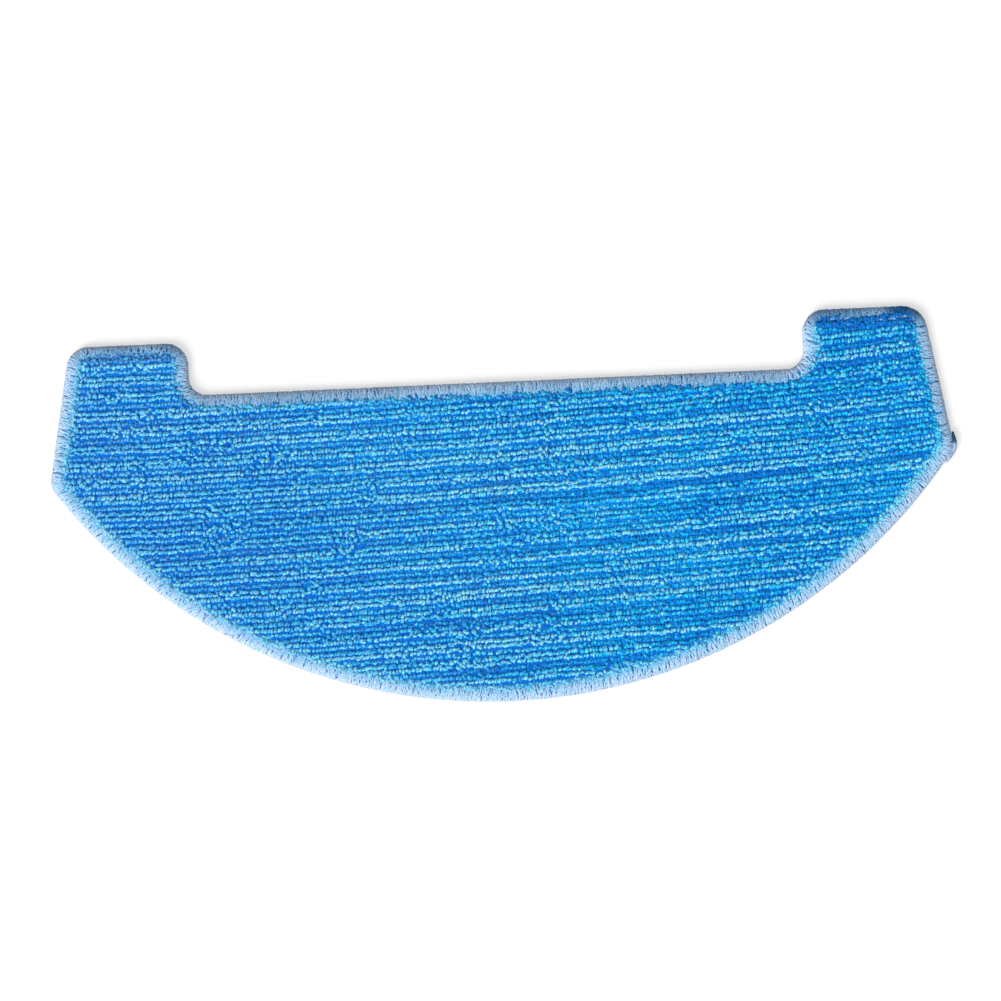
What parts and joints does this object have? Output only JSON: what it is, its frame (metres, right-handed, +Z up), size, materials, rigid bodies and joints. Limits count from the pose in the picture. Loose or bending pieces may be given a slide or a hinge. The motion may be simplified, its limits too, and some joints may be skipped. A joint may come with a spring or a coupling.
{
  "type": "robot vacuum mop pad",
  "caption": "Flat half-round mop cloth of looped microfibre with an overlocked rim, a bay between ears in its straight rear edge, and a loop backing that grips a robot vacuum's mop plate.",
  "frame": {"origin": "middle of the pad's box on its resting face, which is the backing that grips the mop plate", "axes": "+X along the straight rear edge, +Y from the round front edge towards the ears, +Z up from the backing to the wiping loops"},
  "size_m": [0.2811, 0.117, 0.0037],
  "materials": {
    "loop_pile": "looped microfibre terry, bright blue with paler and deeper yarn in its rows",
    "loop_backing": "brushed loop knit, matt pale blue",
    "seam_thread": "textured polyester sewing thread, pale blue, soft sheen"
  },
  "bodies": {
    "root": {"wiping_cloth": "loop_pile", "backing_cloth": "loop_backing", "upper_looper_thread": "seam_thread", "lower_looper_thread": "seam_thread", "needle_thread": "seam_thread", "thread_tail": "seam_thread"}
  },
  "joints": []
}
